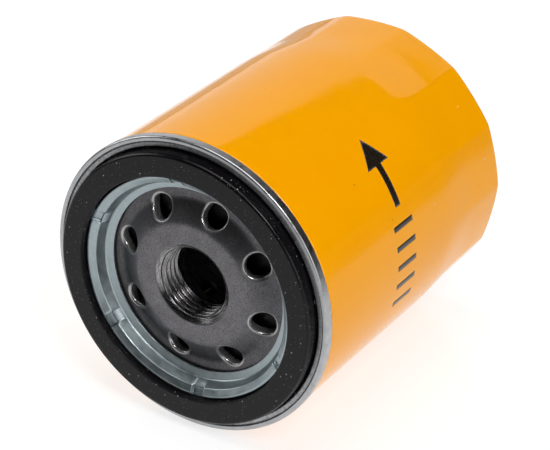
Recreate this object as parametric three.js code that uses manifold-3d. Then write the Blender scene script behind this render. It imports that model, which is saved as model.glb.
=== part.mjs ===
// Spin-on engine oil filter, lying on its side.
// Millimetres, +Z up. The filter's axis runs along Y: the open, threaded end faces -Y.
import * as THREE from 'three';
import { mergeVertices } from 'three/addons/utils/BufferGeometryUtils.js';
import Module from 'manifold-3d';

const wasm = await Module();
wasm.setup();

// Driving dimensions. A depth is measured along the axis from the gasket's sealing face.
const LENGTH = 90;
const CAN_R = 38;
const CAN_WALL = 0.7;
const SEAM_R = 38.4;
const SHEET = 0.6;
const GAP = 0.3;

const CAN_EDGE = 4.2;
const NECK_IN = 0.5;
const NECK_IN_END = 6;
const NECK_IN_SLOPE = 0.3;

const FLATS = 14;
const FLAT_START = 62;
const FLAT_FULL = 75;
const FLAT_DEPTH = 0.42;
const END_TAPER = 0.3;
const SHOULDER_R = 3;
const END_PANEL_R = 28;
const END_PANEL_DEPTH = 0.8;

const GASKET_INNER_R = 29.3;
const GASKET_OUTER_R = 35.3;
const GASKET_CHAMFER = 0.4;
const GROOVE_DEPTH = 6.2;
const FLANGE_R = 24.2;
const LIP_R = 28.3;
const LIP_CREST = 1.75;
const LIP_ROUND = 0.5;
const LIP_DROP = 0.25;
const BAND_DEPTH = 3.4;
const BAND_OUTER_R = 36.9;
const CURL_CREST = 3;
const CURL_R = 37.8;
const CURL_END = 5.4;
const CURL_ROUND = 0.3;
const CURL_INSIDE_R = 36.5;
const CURL_INSIDE_DEPTH = 3.9;

const PLATE_T = 2.5;
const PLATE_R = 36.3;
const PLATEAU_DEPTH = 4.3;
const PLATEAU_R = 15.8;
const RIM_DEPTH = GROOVE_DEPTH + SHEET + GAP;
const RIM_START_R = 21.5;
const INLET_HOLES = 8;
const INLET_R = 3;
const INLET_CIRCLE_R = 19.8;
const INLET_PHASE = THREE.MathUtils.degToRad(28.5);

const THREAD_MINOR_R = 8.6;
const MOUTH_R = 10.3;
const MOUTH_END = 6;
const MOUTH_STEP = 0.5;
const NECK_R = 12;
const NECK_END = 12.8;
const NECK_CHAMFER = 0.6;
const BEND = 0.6;
const BEND_DROP = 0.35;

const HUB_R = 14.9;
const LIP_INNER_R = 15.2;
const LIP_MIDDLE_R = 22;
const LIP_OUTER_R = 29.5;
const LIP_INNER_DEPTH = 9.3;
const LIP_OUTER_DEPTH = 9.95;
const LIP_T = 1.3;
const LIP_EDGE_T = 0.8;

const ELEMENT_START = 13.4;
const ELEMENT_END = 74.3;
const CAP_R = 32.2;
const CAP_HOLE_R = 12.6;
const CAP_RIM = 3.6;
const POTTING_T = 1;
const POTTING_INNER_R = 13.5;
const POTTING_OUTER_R = 31.3;
const TUBE_R = 14.3;
const TUBE_WALL = 0.7;
const TUBE_HOLE_R = 2.2;
const TUBE_HOLE_ROWS = 5;
const TUBE_HOLE_COLUMNS = 6;
const PLEATS = 40;
const MEDIA_INNER_R = 14.8;
const MEDIA_OUTER_R = 31;
const PAPER_RADIAL_T = 2.5;
const CLIP_R = 28;
const CLIP_WIDTH = 5;
const CLIP_T = 0.8;
const CLIP_END_CLEARANCE = 1;

const SEAT_HOLE_R = 6;
const SEAT_R = 16;
const SEAT_T = 0.7;
const SEAL_INNER_R = 4.5;
const SEAL_OUTER_R = 9;
const SEAL_T = 0.5;
const POPPET_R = 9.5;
const POPPET_INSET = 0.8;
const POPPET_NECK_R = 4;
const POPPET_NECK_T = 1.8;
const POPPET_NECK_ROUND = 0.4;
const POPPET_STEM_R = 2.2;
const POPPET_STEM_OUT = 1;
const CAGE_R = 11.9;
const CAGE_END = 61.4;
const CAGE_WALL = 0.7;
const CAGE_WINDOWS = 3;
const CAGE_WINDOW_WIDTH = 14.875;
const CAGE_WINDOW_MARGIN = 2;
const STEM_CLEARANCE = 0.4;
const BYPASS_COIL_R = 6.6;
const BYPASS_WIRE = 1;
const BYPASS_TURNS = 6;
const SUPPORT_START_R = 12.8;
const SUPPORT_END_R = 21;
const SUPPORT_WIRE = 1.8;
const SUPPORT_TURNS = 4;
const CLOSED_TURNS = 0.75;

const RIM_SEGMENTS = 48;
const PLATE_SEGMENTS = 40;
const INNER_SEGMENTS = 32;
const VALVE_SEGMENTS = 24;
const TUBE_SEGMENTS = 20;
const DRILL_SEGMENTS = 16;
const SMALL_DRILL_SEGMENTS = 6;
const SHOULDER_STEPS = 3;
const FLAT_COLUMNS = 3;
const WIRE_SIDES = 6;
const BYPASS_STEPS = 14;
const SUPPORT_STEPS = 16;

// The rim rests on one facet, so that facet's middle sets the height of the axis.
const AXIS_HEIGHT = SEAM_R * Math.cos(Math.PI / RIM_SEGMENTS);

const filter = new THREE.Group();
const assembly = new THREE.Group();
assembly.position.set(0, -LENGTH / 2, AXIS_HEIGHT);
filter.add(assembly);

function material(color, roughness, metalness) {
  return new THREE.MeshStandardMaterial({ color, roughness, metalness });
}

const paint = () => material(0xf5a800, 0.25, 0);
const zinc = () => material(0xa9b4b8, 0.35, 1);
const phosphate = () => material(0x55535a, 0.5, 0.8);
const steel = () => material(0x9a9a9a, 0.35, 1);
const springSteel = () => material(0x777777, 0.3, 1);
const rubber = () => material(0x1c1a1e, 0.75, 0);
const paper = () => material(0xd8b878, 0.9, 0);
const potting = () => material(0xb04a3a, 0.7, 0);

function welded(geometry) {
  const bare = geometry.clone();
  bare.deleteAttribute('normal');
  bare.deleteAttribute('uv');
  return mergeVertices(bare, 1e-5);
}

function signedVolume(geometry) {
  const p = geometry.attributes.position;
  const index = geometry.index.array;
  const a = new THREE.Vector3();
  const b = new THREE.Vector3();
  const c = new THREE.Vector3();
  let sum = 0;
  for (let i = 0; i < index.length; i += 3) {
    a.fromBufferAttribute(p, index[i]);
    b.fromBufferAttribute(p, index[i + 1]);
    c.fromBufferAttribute(p, index[i + 2]);
    sum += a.dot(b.cross(c));
  }
  return sum / 6;
}

// Drops triangles that a welded pole has flattened, and turns the faces outwards.
function closed(geometry) {
  const g = welded(geometry);
  const index = [];
  for (let i = 0; i < g.index.count; i += 3) {
    const [a, b, c] = [g.index.getX(i), g.index.getX(i + 1), g.index.getX(i + 2)];
    if (a !== b && b !== c && a !== c) index.push(a, b, c);
  }
  g.setIndex(index);
  if (signedVolume(g) < 0) g.setIndex(index.reverse());
  return g;
}

function toManifold(geometry) {
  const g = closed(geometry);
  return new wasm.Manifold(new wasm.Mesh({
    numProp: 3,
    vertProperties: new Float32Array(g.attributes.position.array),
    triVerts: new Uint32Array(g.index.array),
  }));
}

function fromManifold(solid) {
  const mesh = solid.getMesh();
  const g = new THREE.BufferGeometry();
  g.setAttribute('position', new THREE.BufferAttribute(new Float32Array(mesh.vertProperties), 3));
  g.setIndex(Array.from(mesh.triVerts));
  return g;
}

function cut(geometry, tools) {
  const body = tools.reduce((left, tool) => left.subtract(toManifold(tool)), toManifold(geometry));
  return fromManifold(body);
}

// Turns a closed section of [radius, depth] points about the filter's axis.
function turned(section, segments = INNER_SEGMENTS) {
  const touchesAxis = section[0][0] === 0;
  const loop = touchesAxis ? section : [...section, section[0]];
  const points = loop.map(([r, depth]) => new THREE.Vector2(r, depth));
  return new THREE.LatheGeometry(points, segments, Math.PI / segments);
}

function addPart(name, geometry, look) {
  const mesh = new THREE.Mesh(closed(geometry), look);
  mesh.name = name;
  assembly.add(mesh);
  return mesh;
}

function arc(centreR, centreDepth, radius, from, to, steps) {
  const points = [];
  for (let i = 0; i <= steps; i += 1) {
    const a = THREE.MathUtils.degToRad(THREE.MathUtils.lerp(from, to, i / steps));
    points.push([centreR + radius * Math.cos(a), centreDepth + radius * Math.sin(a)]);
  }
  return points;
}

// Can: a drawn cup. Its open edge is necked in to sit inside the cover's curl.
function canGeometry() {
  const neckR = CAN_R - NECK_IN;
  const shoulderR = CAN_R - SHOULDER_R;
  const shoulderDepth = LENGTH - SHOULDER_R;
  const section = [
    [0, LENGTH - END_PANEL_DEPTH],
    [END_PANEL_R, LENGTH - END_PANEL_DEPTH],
    [END_PANEL_R + 1, LENGTH],
    ...arc(shoulderR, shoulderDepth, SHOULDER_R, 90, 0, SHOULDER_STEPS),
    [CAN_R, FLAT_FULL],
    [CAN_R, FLAT_START],
    [CAN_R, NECK_IN_END + NECK_IN_SLOPE],
    [neckR, NECK_IN_END - NECK_IN_SLOPE],
    [neckR, CAN_EDGE],
    [neckR - CAN_WALL, CAN_EDGE],
    [neckR - CAN_WALL, NECK_IN_END],
    [CAN_R - CAN_WALL, NECK_IN_END + 2 * NECK_IN_SLOPE],
    [CAN_R - CAN_WALL, FLAT_START],
    [CAN_R - CAN_WALL, FLAT_FULL],
    ...arc(shoulderR, shoulderDepth, SHOULDER_R - CAN_WALL, 0, 90, SHOULDER_STEPS),
    [END_PANEL_R + 0.6, LENGTH - CAN_WALL],
    [END_PANEL_R - 0.4, LENGTH - END_PANEL_DEPTH - CAN_WALL],
    [0, LENGTH - END_PANEL_DEPTH - CAN_WALL],
  ];
  const columns = FLATS * FLAT_COLUMNS;
  const points = section.map(([r, depth]) => new THREE.Vector2(r, depth));
  return pressFlats(new THREE.LatheGeometry(points, columns, Math.PI / columns));
}

// Draws the wall in near the closed end and presses it to wide facets. A facet bulges a little,
// so it is three narrow planes here, and a wrench bears on the middle one.
function pressFlats(geometry) {
  const position = geometry.attributes.position;
  const pitch = 2 * Math.PI / FLATS;
  const innerR = (END_PANEL_R + CAN_R) / 2;
  for (let i = 0; i < position.count; i += 1) {
    const [x, depth, z] = [position.getX(i), position.getY(i), position.getZ(i)];
    const r = Math.hypot(x, z);
    if (depth < (FLAT_START + FLAT_FULL) / 2 || r < innerR) continue;
    const angle = Math.atan2(x, z);
    const fromMiddle = 2 * (angle / pitch - Math.round(angle / pitch));
    const pressed = r - END_TAPER - FLAT_DEPTH * (1 - fromMiddle ** 2);
    position.setX(i, x * pressed / r);
    position.setZ(i, z * pressed / r);
  }
  return geometry;
}

// Cover: inner flange, rolled lip, gasket groove and the curl that hooks over the can.
function coverGeometry() {
  const grooveInnerR = GASKET_INNER_R - GAP;
  const grooveOuterR = GASKET_OUTER_R + GAP;
  const curlCrestR = (BAND_OUTER_R + SEAM_R) / 2;
  const front = [
    [FLANGE_R, GROOVE_DEPTH], [FLANGE_R + 1.1, GROOVE_DEPTH - 0.3], [26.1, 5.3], [26.6, 4.6],
    [LIP_R - LIP_ROUND - 0.4, LIP_CREST + LIP_ROUND + 0.35], [LIP_R - LIP_ROUND, LIP_CREST + LIP_DROP],
    [LIP_R, LIP_CREST], [LIP_R + LIP_ROUND, LIP_CREST + LIP_DROP],
    [grooveInnerR, LIP_CREST + 2 * LIP_DROP],
    [grooveInnerR, GROOVE_DEPTH], [grooveOuterR, GROOVE_DEPTH],
    [grooveOuterR, BAND_DEPTH + LIP_DROP], [grooveOuterR + CURL_ROUND, BAND_DEPTH],
    [BAND_OUTER_R, BAND_DEPTH], [BAND_OUTER_R + CURL_ROUND, CURL_CREST + LIP_DROP], [curlCrestR, CURL_CREST],
    [SEAM_R - CURL_ROUND, CURL_CREST + LIP_DROP], [SEAM_R, CURL_CREST + 3 * CURL_ROUND],
    [SEAM_R, CURL_END - CURL_ROUND], [SEAM_R - CURL_ROUND, CURL_END],
  ];
  const back = [
    [CURL_R, CURL_END], [CURL_R, CURL_INSIDE_DEPTH], [CURL_INSIDE_R, CURL_INSIDE_DEPTH],
    [CURL_INSIDE_R, GROOVE_DEPTH + SHEET], [grooveInnerR - SHEET, GROOVE_DEPTH + SHEET],
    [grooveInnerR - SHEET, LIP_CREST + 2 * SHEET], [LIP_R - 0.1, LIP_CREST + LIP_DROP + LIP_ROUND],
    [LIP_R - 0.4, LIP_CREST + 2 * SHEET], [27.2, 5], [26.6, 5.9],
    [FLANGE_R + 1.3, GROOVE_DEPTH + 0.4], [FLANGE_R, GROOVE_DEPTH + SHEET],
  ];
  return turned([...front, ...back], RIM_SEGMENTS);
}

function gasketGeometry() {
  const depth = GROOVE_DEPTH - GAP;
  return turned([
    [GASKET_INNER_R + GASKET_CHAMFER, 0], [GASKET_OUTER_R - GASKET_CHAMFER, 0],
    [GASKET_OUTER_R, GASKET_CHAMFER], [GASKET_OUTER_R, depth],
    [GASKET_INNER_R, depth], [GASKET_INNER_R, GASKET_CHAMFER],
  ], RIM_SEGMENTS);
}

// Base plate: a raised middle, a sloping ring that carries the inlet holes, and a flat rim.
function basePlateGeometry() {
  const slope = Math.atan2(RIM_DEPTH - PLATEAU_DEPTH, RIM_START_R - PLATEAU_R);
  const plate = turned([
    [MOUTH_R, PLATEAU_DEPTH], [PLATEAU_R - BEND, PLATEAU_DEPTH],
    [PLATEAU_R + BEND, PLATEAU_DEPTH + BEND_DROP], [RIM_START_R - BEND, RIM_DEPTH - BEND_DROP],
    [RIM_START_R + BEND, RIM_DEPTH], [PLATE_R, RIM_DEPTH], [PLATE_R, RIM_DEPTH + PLATE_T],
    [RIM_START_R - BEND, RIM_DEPTH + PLATE_T], [PLATEAU_R - BEND, PLATEAU_DEPTH + PLATE_T],
    [NECK_R, PLATEAU_DEPTH + PLATE_T], [NECK_R, NECK_END],
    [THREAD_MINOR_R + NECK_CHAMFER, NECK_END], [THREAD_MINOR_R, NECK_END - NECK_CHAMFER],
    [THREAD_MINOR_R, MOUTH_END], [THREAD_MINOR_R + MOUTH_STEP, PLATEAU_DEPTH + MOUTH_STEP],
  ], PLATE_SEGMENTS);
  const holeDepth = PLATEAU_DEPTH + (INLET_CIRCLE_R - PLATEAU_R) * Math.tan(slope);
  const drills = [];
  for (let i = 0; i < INLET_HOLES; i += 1) {
    const angle = INLET_PHASE + i * 2 * Math.PI / INLET_HOLES;
    const outward = new THREE.Vector3(Math.cos(angle), 0, Math.sin(angle));
    const normal = outward.clone().multiplyScalar(-Math.sin(slope));
    normal.y = Math.cos(slope);
    const drill = new THREE.CylinderGeometry(INLET_R, INLET_R, 4 * PLATE_T, DRILL_SEGMENTS);
    const turn = new THREE.Quaternion().setFromUnitVectors(new THREE.Vector3(0, 1, 0), normal);
    drill.applyQuaternion(turn);
    drill.translate(outward.x * INLET_CIRCLE_R, holeDepth, outward.z * INLET_CIRCLE_R);
    drills.push(drill);
  }
  return cut(plate, drills);
}

function ring(innerR, outerR, from, to, segments = INNER_SEGMENTS) {
  return turned([[innerR, from], [outerR, from], [outerR, to], [innerR, to]], segments);
}

// Anti-drain-back valve: a sleeve on the neck and a flap that covers the inlet holes.
function antidrainHubGeometry() {
  return ring(NECK_R + GAP, HUB_R, PLATEAU_DEPTH + PLATE_T + GAP, ELEMENT_START - GAP);
}

function antidrainLipGeometry() {
  return turned([
    [LIP_INNER_R, LIP_INNER_DEPTH], [LIP_MIDDLE_R, LIP_OUTER_DEPTH], [LIP_OUTER_R, LIP_OUTER_DEPTH],
    [LIP_OUTER_R, LIP_OUTER_DEPTH + LIP_EDGE_T], [LIP_MIDDLE_R, LIP_OUTER_DEPTH + LIP_T],
    [LIP_INNER_R, LIP_INNER_DEPTH + LIP_T],
  ]);
}

// End cap: a disc with a turned-up outer and inner rim. Direction is +1 or -1 along the axis.
function endCapGeometry(face, direction) {
  const at = (distance) => face + direction * distance;
  return turned([
    [CAP_HOLE_R, at(0)], [CAP_R, at(0)], [CAP_R, at(CAP_RIM)], [CAP_R - SHEET, at(CAP_RIM)],
    [CAP_R - SHEET, at(SHEET)], [CAP_HOLE_R + SHEET, at(SHEET)],
    [CAP_HOLE_R + SHEET, at(CAP_RIM)], [CAP_HOLE_R, at(CAP_RIM)],
  ]);
}

const PACK_START = ELEMENT_START + SHEET + GAP + POTTING_T + GAP;
const PACK_END = ELEMENT_END - SHEET - GAP - POTTING_T - GAP;

function adhesiveGeometry(from) {
  return ring(POTTING_INNER_R, POTTING_OUTER_R, from, from + POTTING_T);
}

// Centre tube with rows of round holes; alternate rows are staggered.
function centerTubeGeometry() {
  const tube = ring(TUBE_R - TUBE_WALL, TUBE_R, PACK_START, PACK_END, TUBE_SEGMENTS);
  const drills = [];
  for (let row = 0; row < TUBE_HOLE_ROWS; row += 1) {
    const depth = THREE.MathUtils.lerp(PACK_START, PACK_END, (row + 0.5) / TUBE_HOLE_ROWS);
    for (let column = 0; column < TUBE_HOLE_COLUMNS / 2; column += 1) {
      const drill = new THREE.CylinderGeometry(TUBE_HOLE_R, TUBE_HOLE_R, 3 * TUBE_R, SMALL_DRILL_SEGMENTS);
      drill.rotateZ(Math.PI / 2);
      drill.rotateY((column + (row % 2) / 2) * 2 * Math.PI / TUBE_HOLE_COLUMNS);
      drill.translate(0, depth, 0);
      drills.push(drill);
    }
  }
  return cut(tube, drills);
}

function zigzag(path, tipR, foldR) {
  for (let i = 0; i < 2 * PLEATS; i += 1) {
    const angle = i * Math.PI / PLEATS;
    const r = i % 2 === 0 ? tipR : foldR;
    const [x, y] = [r * Math.cos(angle), r * Math.sin(angle)];
    if (i === 0) path.moveTo(x, y);
    else path.lineTo(x, y);
  }
  path.closePath();
  return path;
}

function mediaGeometry() {
  const outline = zigzag(new THREE.Shape(), MEDIA_OUTER_R, MEDIA_INNER_R + PAPER_RADIAL_T);
  outline.holes.push(zigzag(new THREE.Path(), MEDIA_OUTER_R - PAPER_RADIAL_T, MEDIA_INNER_R));
  const depth = PACK_END - PACK_START;
  const pack = new THREE.ExtrudeGeometry(outline, { depth, bevelEnabled: false });
  pack.rotateX(-Math.PI / 2);
  return pack.translate(0, PACK_START, 0);
}

// The clip lies in one outer fold of the paper.
function pleatClipGeometry() {
  const length = PACK_END - PACK_START - 2 * CLIP_END_CLEARANCE;
  const clip = new THREE.BoxGeometry(CLIP_WIDTH, length, CLIP_T);
  clip.translate(CLIP_R, (PACK_START + PACK_END) / 2, 0);
  return clip.rotateY(Math.PI / PLEATS);
}

// Bypass cage: a basket whose three legs join its end disc to the seat.
function bypassCageGeometry() {
  const top = ELEMENT_END;
  const stemHoleR = POPPET_STEM_R + STEM_CLEARANCE;
  const windowHeight = top - CAGE_END - 2 * CAGE_WINDOW_MARGIN;
  const basket = turned([
    [stemHoleR, CAGE_END], [CAGE_R, CAGE_END], [CAGE_R, top], [CAGE_R - CAGE_WALL, top],
    [CAGE_R - CAGE_WALL, CAGE_END + CAGE_WALL], [stemHoleR, CAGE_END + CAGE_WALL],
  ], VALVE_SEGMENTS);
  const windows = [];
  for (let i = 0; i < CAGE_WINDOWS; i += 1) {
    const opening = new THREE.BoxGeometry(CAGE_R, windowHeight, CAGE_WINDOW_WIDTH);
    opening.translate(CAGE_R, (top + CAGE_END) / 2, 0);
    windows.push(opening.rotateY(i * 2 * Math.PI / CAGE_WINDOWS));
  }
  return cut(basket, windows);
}

function bypassPoppetGeometry() {
  const face = ELEMENT_END - POPPET_INSET;
  const neckEnd = face - POPPET_NECK_T;
  const tip = CAGE_END - POPPET_STEM_OUT;
  return turned([
    [0, face], [POPPET_R, face], [POPPET_R, face - SHEET], [POPPET_NECK_R, face - SHEET],
    [POPPET_NECK_R - POPPET_NECK_ROUND, neckEnd], [POPPET_STEM_R, neckEnd - POPPET_NECK_ROUND],
    [POPPET_STEM_R, tip], [0, tip],
  ], VALVE_SEGMENTS);
}

// A coil spring as a swept round wire. Its radius runs from startR to endR between two depths.
class CoilCurve extends THREE.Curve {
  constructor(startR, endR, from, to, turns) {
    super();
    Object.assign(this, { startR, endR, from, to, turns });
  }

  getPoint(t, target = new THREE.Vector3()) {
    const flat = CLOSED_TURNS / this.turns;
    const rise = THREE.MathUtils.clamp((t - flat) / (1 - 2 * flat), 0, 1);
    const r = THREE.MathUtils.lerp(this.startR, this.endR, rise);
    const angle = 2 * Math.PI * this.turns * t;
    const depth = THREE.MathUtils.lerp(this.from, this.to, rise);
    return target.set(r * Math.cos(angle), depth, r * Math.sin(angle));
  }
}

function coilGeometry(curve, wire, stepsPerTurn) {
  const section = new THREE.Shape();
  for (let i = 0; i < WIRE_SIDES; i += 1) {
    const a = 2 * Math.PI * i / WIRE_SIDES;
    const [x, y] = [wire / 2 * Math.cos(a), wire / 2 * Math.sin(a)];
    if (i === 0) section.moveTo(x, y);
    else section.lineTo(x, y);
  }
  section.closePath();
  const steps = Math.round(stepsPerTurn * curve.turns);
  return new THREE.ExtrudeGeometry(section, { steps, extrudePath: curve, bevelEnabled: false });
}

const POPPET_BACK = ELEMENT_END - POPPET_INSET - SHEET;
const SEAT_BACK = ELEMENT_END + GAP + SEAT_T;
const DOME_INSIDE = LENGTH - END_PANEL_DEPTH - CAN_WALL;

function bypassSpringGeometry() {
  const clear = GAP + BYPASS_WIRE / 2;
  const from = CAGE_END + CAGE_WALL + clear;
  const coil = new CoilCurve(BYPASS_COIL_R, BYPASS_COIL_R, from, POPPET_BACK - clear, BYPASS_TURNS);
  return coilGeometry(coil, BYPASS_WIRE, BYPASS_STEPS);
}

function supportSpringGeometry() {
  const clear = GAP + SUPPORT_WIRE / 2;
  const from = SEAT_BACK + clear;
  const to = DOME_INSIDE - clear;
  const coil = new CoilCurve(SUPPORT_START_R, SUPPORT_END_R, from, to, SUPPORT_TURNS);
  return coilGeometry(coil, SUPPORT_WIRE, SUPPORT_STEPS);
}

addPart('can', canGeometry(), paint());
addPart('cover', coverGeometry(), zinc());
addPart('gasket', gasketGeometry(), rubber());
addPart('base_plate', basePlateGeometry(), phosphate());
addPart('antidrain_hub', antidrainHubGeometry(), rubber());
addPart('antidrain_lip', antidrainLipGeometry(), rubber());
addPart('upper_end_cap', endCapGeometry(ELEMENT_START, 1), steel());
addPart('lower_end_cap', endCapGeometry(ELEMENT_END, -1), steel());
addPart('upper_adhesive', adhesiveGeometry(PACK_START - GAP - POTTING_T), potting());
addPart('lower_adhesive', adhesiveGeometry(PACK_END + GAP), potting());
addPart('center_tube', centerTubeGeometry(), steel());
addPart('pleated_media', mediaGeometry(), paper());
addPart('pleat_clip', pleatClipGeometry(), steel());
addPart('bypass_seat', ring(SEAT_HOLE_R, SEAT_R, ELEMENT_END + GAP, SEAT_BACK), steel());
addPart('bypass_cage', bypassCageGeometry(), steel());
addPart('bypass_poppet', bypassPoppetGeometry(), steel());
addPart('bypass_seal', ring(SEAL_INNER_R, SEAL_OUTER_R, ELEMENT_END - SEAL_T, ELEMENT_END), rubber());
addPart('bypass_spring', bypassSpringGeometry(), springSteel());
addPart('support_spring', supportSpringGeometry(), springSteel());

export default filter;
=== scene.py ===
import math

import bmesh
import bpy
import numpy as np
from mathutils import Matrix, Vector
from mathutils.geometry import delaunay_2d_cdt


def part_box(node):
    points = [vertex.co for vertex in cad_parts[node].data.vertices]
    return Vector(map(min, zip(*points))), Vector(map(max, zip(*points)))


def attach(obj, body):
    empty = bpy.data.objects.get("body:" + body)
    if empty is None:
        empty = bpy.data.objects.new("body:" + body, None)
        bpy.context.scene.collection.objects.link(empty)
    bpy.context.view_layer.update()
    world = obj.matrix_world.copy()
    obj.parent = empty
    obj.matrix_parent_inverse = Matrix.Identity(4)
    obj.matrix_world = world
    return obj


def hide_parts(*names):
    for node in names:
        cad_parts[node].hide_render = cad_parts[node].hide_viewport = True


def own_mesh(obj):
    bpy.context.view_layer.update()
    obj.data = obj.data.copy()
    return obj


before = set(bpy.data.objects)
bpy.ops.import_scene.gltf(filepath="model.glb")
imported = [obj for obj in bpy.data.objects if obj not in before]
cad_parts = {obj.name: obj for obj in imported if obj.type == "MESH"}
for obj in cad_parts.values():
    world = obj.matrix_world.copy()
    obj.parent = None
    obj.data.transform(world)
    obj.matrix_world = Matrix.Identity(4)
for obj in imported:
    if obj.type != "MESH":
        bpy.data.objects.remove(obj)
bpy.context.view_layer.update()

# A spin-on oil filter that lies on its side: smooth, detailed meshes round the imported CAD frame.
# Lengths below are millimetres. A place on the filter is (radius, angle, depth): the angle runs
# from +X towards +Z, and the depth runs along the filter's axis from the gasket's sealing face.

MM = 0.001


def box_mm(node):
    low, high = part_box(node)
    return low / MM, high / MM


def depths(node):
    """Where a CAD node starts and ends along the filter's axis."""
    low, high = box_mm(node)
    return low.y - FACE, high.y - FACE


def outer_radius(node):
    low, high = box_mm(node)
    return (high.x - low.x) / 2


FACE = box_mm("gasket")[0].y
AXIS = (box_mm("cover")[0].z + box_mm("cover")[1].z) / 2
LENGTH = depths("can")[1]
CAN_R = outer_radius("can")
SEAM_R = AXIS
GASKET_R = outer_radius("gasket")
SHEET = 0.6
CAN_WALL = 0.7

FLATS = 14
FLAT_START = 60
FLAT_FULL = 77
FLAT_DEPTH = 0.42
FLAT_RIDGE = 0.12
FLAT_COLUMNS = 28
END_TAPER = 0.3
CAN_EDGE = 4.2
SHOULDER_R = 3
END_PANEL_R = 28
END_PANEL_DEPTH = 0.8

GASKET_INNER_R = 29.3
LIP_CREST = 1.75
LIP_OUTER_R = 29.05
GROOVE_DEPTH = 6.2
FLANGE_R = 24.2
GROOVE_OUTER_R = 35.6
BAND_DEPTH = 3.35
BAND_OUTER_R = 36.75
CURL_CREST = 3.0
CURL_R = 37.8
CURL_INSIDE_R = 36.5
CURL_INSIDE_DEPTH = 4.0
CRIMPS = 6
CRIMP_PHASE = math.radians(35)
CRIMP_HALF = 1.7

PLATE_T = 2.5
PLATEAU_DEPTH = 4.3
PLATEAU_R = 15.8
RIM_START_R = 21.5
RIM_DEPTH = 7.1
PLATE_R = 36.3
INLETS = 8
INLET_R = 3.0
INLET_CIRCLE_R = 19.8
INLET_PHASE = math.radians(28.5)
INLET_EDGE = 0.75
INLET_COLUMNS = 64
PLATE_COLUMNS = 192

THREAD_MINOR_R = 8.6
THREAD_MAJOR_R = 9.45
THREAD_PITCH = 25.4 / 16
MOUTH_R = 10.3
NECK_R = 12
NECK_END = 12.8
NECK_BLEND_R = 13.2

GAP = 0.3
LIP_ROOT_R = 15.2
CAP_HOLE_R = 12.6
POTTING_INNER_R = 13.5
MEDIA_INNER_R = 14.8
MEDIA_MIDDLE_R = 22.4
PLEATS = 40
PLEAT_COLUMNS = 36
PLEAT_ROWS = 12
PLEAT_SHARPNESS = 0.985
PAPER_T = 0.5
TUBE_WALL = 0.7
TUBE_HOLE_R = 2.2
TUBE_ROWS = 5
TUBE_COLUMNS = 6
CLIP_INNER_R = 25.5
CLIP_OUTER_R = 30.45
CLIP_T = 0.8
CLIP_SHEET = 0.22
CLIP_PINCH = 0.22
CLIP_PINCHES = 10
PINCH_ROWS = 16
CLIP_TURN = -math.pi / PLEATS

SEAT_HOLE_R = 6
SEAL_INNER_R = 4.5
STEM_R = 2.2
STEM_CLEARANCE = 0.4
POPPET_NECK_R = 4
WINDOWS = 3
WINDOW_HALF = math.radians(38.7)
WINDOW_CORNER = 1.4
WINDOW_FRAME = 2
POPPET_COIL_R = 6.6
POPPET_WIRE = 1
CONE_START_R = 12.8
CONE_WIRE = 1.8
CLOSED_TURNS = 0.75
COIL_SIDES = 16
COIL_STEPS = 56

FULL_TURN = 2 * math.pi
PROFILE_STEP = 0.05
SMALL_FILLET = 0.08


# Mesh helpers

def to_frame(radius, angle, depth):
    """Places on the filter as points in the row frame, in metres."""
    x = radius * np.cos(angle)
    z = radius * np.sin(angle)
    return np.stack([x, FACE + depth + 0 * x, AXIS + z], -1) * MM


def smoothstep(value, start, end):
    t = np.clip((value - start) / (end - start), 0, 1)
    return t * t * (3 - 2 * t)


def turn_angles(count):
    return np.arange(count) * FULL_TURN / count


def from_nearest(angle, phase, count):
    """Angle from the nearest of some evenly spaced places, the first of them at the phase."""
    pitch = FULL_TURN / count
    off = angle - phase
    return off - pitch * np.round(off / pitch)


def polar(flat):
    """The radius and angle of flat (x, z) points."""
    return np.hypot(flat[:, 0], flat[:, 1]), np.arctan2(flat[:, 1], flat[:, 0])


def change(at, along, values):
    """How much a profile's values rise from just before each place to just after it."""
    return np.interp(at + PROFILE_STEP, along, values) - np.interp(at - PROFILE_STEP, along, values)


def fillet(corner, before, after, radius):
    """Points of an arc that rounds a corner, with a close point on each side that holds the flats."""
    p, *ends = (np.array(point[:2], float) for point in (corner, before, after))
    lengths = [np.linalg.norm(end - p) for end in ends]
    to_before, to_after = ((end - p) / length for end, length in zip(ends, lengths))
    half = math.acos(np.clip(to_before @ to_after, -1, 1)) / 2
    if half > math.radians(89):
        return [p]
    reach = min(radius / math.tan(half), 0.45 * min(lengths))
    true_radius = reach * math.tan(half)
    middle = to_before + to_after
    centre = p + middle / np.linalg.norm(middle) * true_radius / math.sin(half)
    start = p + to_before * reach - centre
    end = p + to_after * reach - centre
    sweep = math.pi - 2 * half
    steps = max(3, min(10, math.ceil(true_radius * sweep / 0.12)))
    arc = []
    for i in range(steps + 1):
        t = i / steps
        arc.append(centre + (math.sin((1 - t) * sweep) * start + math.sin(t * sweep) * end) / math.sin(sweep))
    hold = min(0.3 * reach, 0.05 * min(lengths))
    return [p + to_before * (reach + hold), *arc, p + to_after * (reach + hold)]


def rounded(corners, loop=True):
    """A section as dense points. A corner is (radius, depth) or (radius, depth, its own fillet)."""
    points = []
    for i, corner in enumerate(corners):
        at_end = not loop and i in (0, len(corners) - 1)
        if corner[0] == 0 or at_end:
            points.append(np.array(corner[:2], float))
            continue
        radius = corner[2] if len(corner) > 2 else SMALL_FILLET
        points += fillet(corner, corners[i - 1], corners[(i + 1) % len(corners)], radius)
    return np.array(points)


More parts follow.
